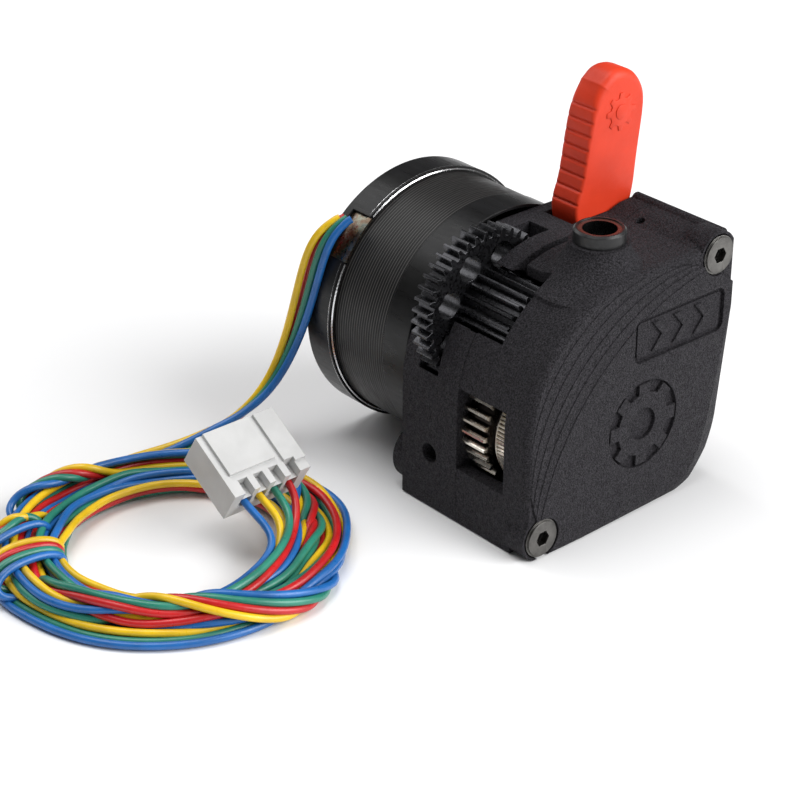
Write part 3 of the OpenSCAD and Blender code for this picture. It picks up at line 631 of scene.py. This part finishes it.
def lead_path(index, name):
    side, depth = BUNDLE_PLACE[name]
    run = []
    for i, p in enumerate(LEAD_ROUTE):
        ahead = (LEAD_ROUTE[min(i + 1, len(LEAD_ROUTE) - 1)] - LEAD_ROUTE[max(i - 1, 0)]).normalized()
        across = Vector((0.76, -0.65, 0.0))
        out = ahead.cross(across).normalized()
        spread = 1.1 + 0.6 * math.sin(i * 0.42)
        run.append(p + across * side * LEAD_D * spread - out * depth * LEAD_D)
    first = COIL_START + math.radians(14)
    turns = [coil_point(index, first + (COIL_END - first) * i / 2400) for i in range(2401)]
    slot = PLUG_ORDER.index(name) - 1.5
    hole = PLUG @ Vector((slot * PLUG_PITCH, -PLUG_SIZE.y / 2 + 3.0 * MM, -0.3 * MM))
    mouth = PLUG @ Vector((slot * PLUG_PITCH, -PLUG_SIZE.y / 2 - 1.0 * MM, -0.3 * MM))
    below = PLUG @ Vector((slot * PLUG_PITCH * 0.75, -PLUG_SIZE.y / 2 - 4.2 * MM, -0.4 * MM))
    leave = turns[-1] + Vector((3.4 + 0.9 * slot, 0.4 + 0.5 * slot, 0.7)) * MM
    tail = spline([turns[-60], turns[-1], leave, below, mouth, hole], 12)
    whole = spline(run, 8) + turns[:-1] + tail[14:]
    return smoothed(resample(whole, 0.4 * MM), 24)


def near_pairs(points, strand, order, reach):
    tree = kdtree.KDTree(len(points))
    for i, p in enumerate(points):
        tree.insert(p, i)
    tree.balance()
    pairs = [(i, j) for i, p in enumerate(points) for _, j, _ in tree.find_range(p, reach)
             if j > i and (strand[i] != strand[j] or order[j] - order[i] > 4)]
    return np.array(pairs)


def settle(paths, rounds):
    """Pushes touching leads apart, keeps their lengths, and lets them lie on the floor."""
    step = LEAD_D
    strands = [resample([Vector(q) for q in p], step) for p in paths]
    points = np.array([tuple(p) for s in strands for p in s])
    strand = np.concatenate([[k] * len(s) for k, s in enumerate(strands)])
    order = np.concatenate([np.arange(len(s)) for s in strands])
    last = np.array([len(strands[k]) - 1 for k in strand])
    free = (np.clip((order - 34) / 14, 0, 1) * np.clip((last - 4 - order) / 6, 0, 1))[:, None]
    joined = np.where(order[1:] > 0)[0]
    inner = joined[order[joined] > 0]
    core = np.array([COIL_AT.x, COIL_AT.y])
    for turn in range(rounds):
        if turn % 8 == 0:
            pairs = near_pairs(points, strand, order, LEAD_D + 1.0 * MM)
        moved = np.zeros_like(points)
        gap = points[pairs[:, 1]] - points[pairs[:, 0]]
        far = np.linalg.norm(gap, axis=1) + 1e-9
        push = np.clip(LEAD_D * 1.02 - far, 0, None)[:, None] * gap / far[:, None] * 0.32
        np.add.at(moved, pairs[:, 0], -push)
        np.add.at(moved, pairs[:, 1], push)
        points += np.clip(moved, -0.4 * LEAD_D, 0.4 * LEAD_D) * free
        bend = np.zeros_like(points)
        bend[inner] = (points[inner - 1] + points[inner + 1]) / 2 - points[inner]
        points += 0.30 * bend * free
        flat = points[:, :2] - core
        ring = np.linalg.norm(flat, axis=1)
        off_r, off_z = ring - CORE_R, points[:, 2] - CORE_Z
        off = np.hypot(off_r, off_z * 1.6)
        loose = (off > 6.0 * MM) & (ring < 30 * MM) & (ring > 12 * MM)
        tight = np.where(loose, 0.04 * (off - 6.0 * MM) / (off + 1e-9), 0)
        pull = np.stack([-flat[:, 0] / (ring + 1e-9) * off_r, -flat[:, 1] / (ring + 1e-9) * off_r, -off_z], 1)
        points += pull * tight[:, None] * free
        points[:, 2] -= 0.010 * MM * free[:, 0]
        for _ in range(2):
            seg = points[joined + 1] - points[joined]
            size = np.linalg.norm(seg, axis=1) + 1e-9
            fix = ((size - step) / size)[:, None] * seg * 0.4
            np.add.at(points, joined, fix * free[joined])
            np.add.at(points, joined + 1, -fix * free[joined + 1])
        points[:, 2] = np.where(free[:, 0] > 0, np.maximum(points[:, 2], LEAD_D / 2), points[:, 2])
    return [smoothed(resample([Vector(q) for q in points[strand == k]], 0.55 * MM), 14)
            for k in range(len(paths))]


def add_leads():
    names = list(LEAD_COLORS)
    paths = [lead_path(i, n) for i, n in enumerate(names)]
    settled = settle(paths, ROUNDS_FULL)
    for name, points in zip(names, settled):
        data = bpy.data.curves.new("lead_" + name, "CURVE")
        data.dimensions = "3D"
        line = data.splines.new("POLY")
        line.points.add(len(points) - 1)
        line.points.foreach_set("co", np.concatenate([points, np.ones((len(points), 1))], 1).ravel())
        data.bevel_depth = LEAD_D / 2
        data.bevel_resolution = 3
        data.use_fill_caps = True
        data.materials.append(lead_skin(name, LEAD_COLORS[name]))
        lead = bpy.data.objects.new("lead_" + name, data)
        scene.collection.objects.link(lead)
        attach(lead, "housing")
        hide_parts("lead_bundle", "lead_coil")


add_leads()


# ---------------------------------------------------------------- motor
STACK_R = 18.0 * MM
STACK_BORE_R = 15.3 * MM
SHEET_GAP = 0.08 * MM


def add_laminations():
    """The laminated stack as separate punched sheets with slightly uneven edges."""
    y0, y1 = stack_low.y, stack_high.y
    pitch = (y1 - y0) / SHEETS
    steps = 168
    verts, faces = [], []
    rng = np.random.default_rng(7)
    for k in range(SHEETS):
        edge = STACK_R - (0.01 + 0.10 * rng.random()) * MM
        base = len(verts)
        for y in (y0 + k * pitch + SHEET_GAP, y0 + (k + 1) * pitch - SHEET_GAP):
            for r in (edge, STACK_BORE_R):
                for i in range(steps):
                    a = 2 * math.pi * i / steps
                    verts.append((MOTOR_AXIS[0] + r * math.cos(a), y, MOTOR_AXIS[1] + r * math.sin(a)))
        o0, i0, o1, i1 = base, base + steps, base + 2 * steps, base + 3 * steps
        for i in range(steps):
            j = (i + 1) % steps
            faces += [(o0 + i, o0 + j, o1 + j, o1 + i), (i0 + j, i0 + i, i1 + i, i1 + j),
                      (o0 + j, o0 + i, i0 + i, i0 + j), (o1 + i, o1 + j, i1 + j, i1 + i)]
    made = mesh_object("stator_laminations", verts, faces, LAMINATION)
    bevel(made, 0.09 * MM, 2, 30)
    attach(made, "housing")


def bent_bar(name, profile, first, last, steps, material):
    """Bar bent round the motor's axis; profile(angle) is its closed section as a list of (radius, y)."""
    n = len(profile(first))
    verts, faces = [], []
    for i in range(steps + 1):
        a = first + (last - first) * i / steps
        verts += [(MOTOR_AXIS[0] + r * math.cos(a), y, MOTOR_AXIS[1] + r * math.sin(a))
                  for r, y in profile(a)]
    for i in range(steps):
        faces += [(i * n + k, (i + 1) * n + k, (i + 1) * n + (k + 1) % n, i * n + (k + 1) % n)
                  for k in range(n)]
    faces += [tuple(range(n)), tuple(range(steps * n + n - 1, steps * n - 1, -1))]
    return mesh_object(name, verts, faces, material)


def add_rear_rim():
    """Polished chamfer round the front edge of the rear end bell, open at the lead window."""
    y = rear_low.y
    outer = REAR_CAP_R + 0.02 * MM
    inner = 18.26 * MM
    section = [(inner, y - 0.10 * MM), (inner + 0.08 * MM, y - 0.14 * MM), (outer - 0.06 * MM, y + 0.26 * MM),
               (outer, y + 0.36 * MM), (outer - 0.3 * MM, y + 0.5 * MM), (inner, y + 0.3 * MM)]
    made = bent_bar("rear_cap_rim", lambda a: section, math.radians(150), math.radians(486), 260, ALUMINIUM)
    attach(made, "housing")


def add_motor_face():
    """Bright machined face of the front end bell, seen through the holes of the reduction gear."""
    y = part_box("rear_housing")[0].y + 10.9 * MM
    made = lathe_y("motor_machined_face", [(8.05 * MM, y), (17.7 * MM, y), (17.9 * MM, y + 0.06 * MM),
                                           (8.05 * MM, y + 0.06 * MM)], MOTOR_AXIS, ALUMINIUM)
    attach(made, "housing")


def add_window_plate():
    """Zinc-plated plate that closes the lead window, with its front lip folded over the stack."""
    y0, y1 = rear_low.y - 0.12 * MM, rear_low.y + 4.1 * MM
    section = [(18.12 * MM, y0), (18.48 * MM, y0), (18.52 * MM, y0 + 0.75 * MM), (18.30 * MM, y0 + 0.95 * MM),
               (18.24 * MM, y1), (17.9 * MM, y1), (17.9 * MM, y0 + 0.6 * MM)]

    def dented(a):
        dent = 0.05 * MM * math.sin(9 * a) * math.sin(23 * a)
        return [(r + dent, y) for r, y in section]

    made = bent_bar("lead_window_cover", dented, math.radians(127.2), math.radians(149.0), 40, ZINC)
    made.data.shade_smooth()
    made.data.set_sharp_from_angle(angle=math.radians(30))
    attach(made, "housing")


add_laminations()
add_rear_rim()
add_window_plate()
add_motor_face()


# ---------------------------------------------------------------- release lever
HANDLE = [(6.9, 34.0), (6.5, 37.4), (7.6, 41.2), (8.6, 47.2), (9.6, 51.6), (10.8, 54.0), (12.8, 55.3),
          (15.2, 55.3), (17.4, 54.1), (18.75, 51.7), (18.7, 48.2), (18.0, 42.5), (17.6, 38.4), (17.0, 35.5)]
GRIP_LOW = 37.0 * MM
GRIP_HIGH = 52.4 * MM
GRIP_PITCH = 1.85 * MM
GROOVE_DEPTH = 0.22 * MM
HUB_R = 4.2 * MM
EMBLEM_AT = (14.2 * MM, 49.6 * MM)
EMBLEM_R = 2.7 * MM
EMBLEM_HUB_R = 1.05 * MM


def handle_outline():
    """Outline of the lever seen from the front, and how deep the grip grooves cut at each point."""
    left = spline([Vector((x, 0, z)) * MM for x, z in HANDLE[:6]], 40)
    top = spline([Vector((x, 0, z)) * MM for x, z in HANDLE[5:11]], 12)
    right = spline([Vector((x, 0, z)) * MM for x, z in HANDLE[10:]], 6)
    outline = [(p.x, p.z) for p in left + top[1:] + right[1:]]
    grooves = [0.0] * len(outline)
    for i, p in enumerate(left):
        if GRIP_LOW < p.z < GRIP_HIGH:
            phase = (p.z - GRIP_LOW) / GRIP_PITCH % 1.0
            grooves[i] = GROOVE_DEPTH * math.exp(-((phase - 0.5) / 0.10) ** 2)
    for i in range(33):
        a = math.radians(15 - 210 * i / 32)
        outline.append((LEVER_AXIS[0] + HUB_R * math.cos(a), LEVER_AXIS[1] + HUB_R * math.sin(a)))
        grooves.append(0.0)
    return outline, grooves


def cog_outline(centre, radius, teeth=8):
    points = []
    for k in range(teeth):
        for turn, r in ((-0.30, 0.74), (-0.16, 1.0), (0.16, 1.0), (0.30, 0.74)):
            a = 2 * math.pi * (k + turn) / teeth
            points.append((centre[0] + radius * r * math.cos(a), centre[1] + radius * r * math.sin(a)))
    return points


def add_lever():
    outline, grooves = handle_outline()
    n = len(outline)
    y0, y1 = lever_low.y, lever_high.y
    inward = []
    for i in range(n):
        (ax, az), (bx, bz) = outline[i - 5], outline[(i + 5) % n]
        size = math.hypot(bx - ax, bz - az)
        inward.append(((bz - az) / size, -(bx - ax) / size))
    verts, faces = [], []
    arc = [math.pi / 2 * k / 6 for k in range(7)]
    rings = [(1 - math.cos(t), 1 - math.sin(t), 0) for t in arc]
    rings += [(1 - math.cos(t), 1 - math.sin(t), 1) for t in reversed(arc)]
    for deep, inset, back in rings:
        for (x, z), (nx, nz), groove in zip(outline, inward, grooves):
            r = (0.55 + 0.75 * smoothstep((z / MM - 49.0) / 5.0)) * MM
            y = y1 - r * deep if back else y0 + r * deep
            move = r * inset + groove * (1 - inset) ** 2
            verts.append((x + nx * move, y, z + nz * move))
    for k in range(len(rings) - 1):
        faces += [(k * n + i, k * n + (i + 1) % n, (k + 1) * n + (i + 1) % n, (k + 1) * n + i)
                  for i in range(n)]
    last = (len(rings) - 1) * n
    faces += [tuple(range(n)), tuple(range(last + n - 1, last - 1, -1))]
    handle = mesh_object("release_lever_handle", verts, faces, RED, smooth=True)
    handle.data.set_sharp_from_angle(angle=math.radians(42))
    cog = prism_y("lever_cog_emblem", cog_outline(EMBLEM_AT, EMBLEM_R), y0 - 0.13 * MM, y0 + 0.2 * MM, RED)
    turns = [k / 16 * math.pi for k in range(32)]
    hub = [(EMBLEM_AT[0] + EMBLEM_HUB_R * math.cos(a), EMBLEM_AT[1] + EMBLEM_HUB_R * math.sin(a))
           for a in turns]
    knob = prism_y("lever_emblem_hub", hub, y0 - 0.24 * MM, y0 + 0.2 * MM, RED)
    for piece in (cog, knob):
        bevel(piece, 0.05 * MM, 2, 30)
    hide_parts("release_lever")
    for piece in (handle, cog, knob):
        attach(piece, "lever")


add_lever()


# ---------------------------------------------------------------- studio
def paper_white():
    s = Surface("paper_white", (0.88, 0.88, 0.885), 0.9)
    s.vary_color(s.noise(9, 2.0), (0.875, 0.875, 0.88), (0.885, 0.885, 0.89))
    s.set(Specular_IOR_Level=0.2)
    return s.material


WORLD_STRENGTH = 0.12
FLOOR = 3
AIM = Vector((0, 0.01, 0.02))
# Name, place, size and power of each light
LIGHTS = [("key", (1.2, -2.1, 1.4), 2.4, 112), ("rim", (-0.3, 2.25, 1.65), 1.8, 18),
          ("top", (-0.25, 0.4, 2.8), 1.8, 46)]


def add_studio():
    world = bpy.data.worlds.new("studio")
    scene.world = world
    world.use_nodes = True
    world.node_tree.nodes["Background"].inputs["Color"].default_value = (1, 1, 1, 1)
    world.node_tree.nodes["Background"].inputs["Strength"].default_value = WORLD_STRENGTH
    corners = [(-FLOOR, -FLOOR), (FLOOR, -FLOOR), (FLOOR, FLOOR), (-FLOOR, FLOOR)]
    floor = mesh_object("studio_floor", [(x, y, -0.0002) for x, y in corners], [(0, 1, 2, 3)], paper_white())
    for name, at, size, power in LIGHTS:
        data = bpy.data.lights.new(name, "AREA")
        data.size = size
        data.energy = power
        light = bpy.data.objects.new(name, data)
        light.location = at
        light.rotation_euler = (AIM - Vector(at)).to_track_quat("-Z", "Y").to_euler()
        scene.collection.objects.link(light)


add_studio()
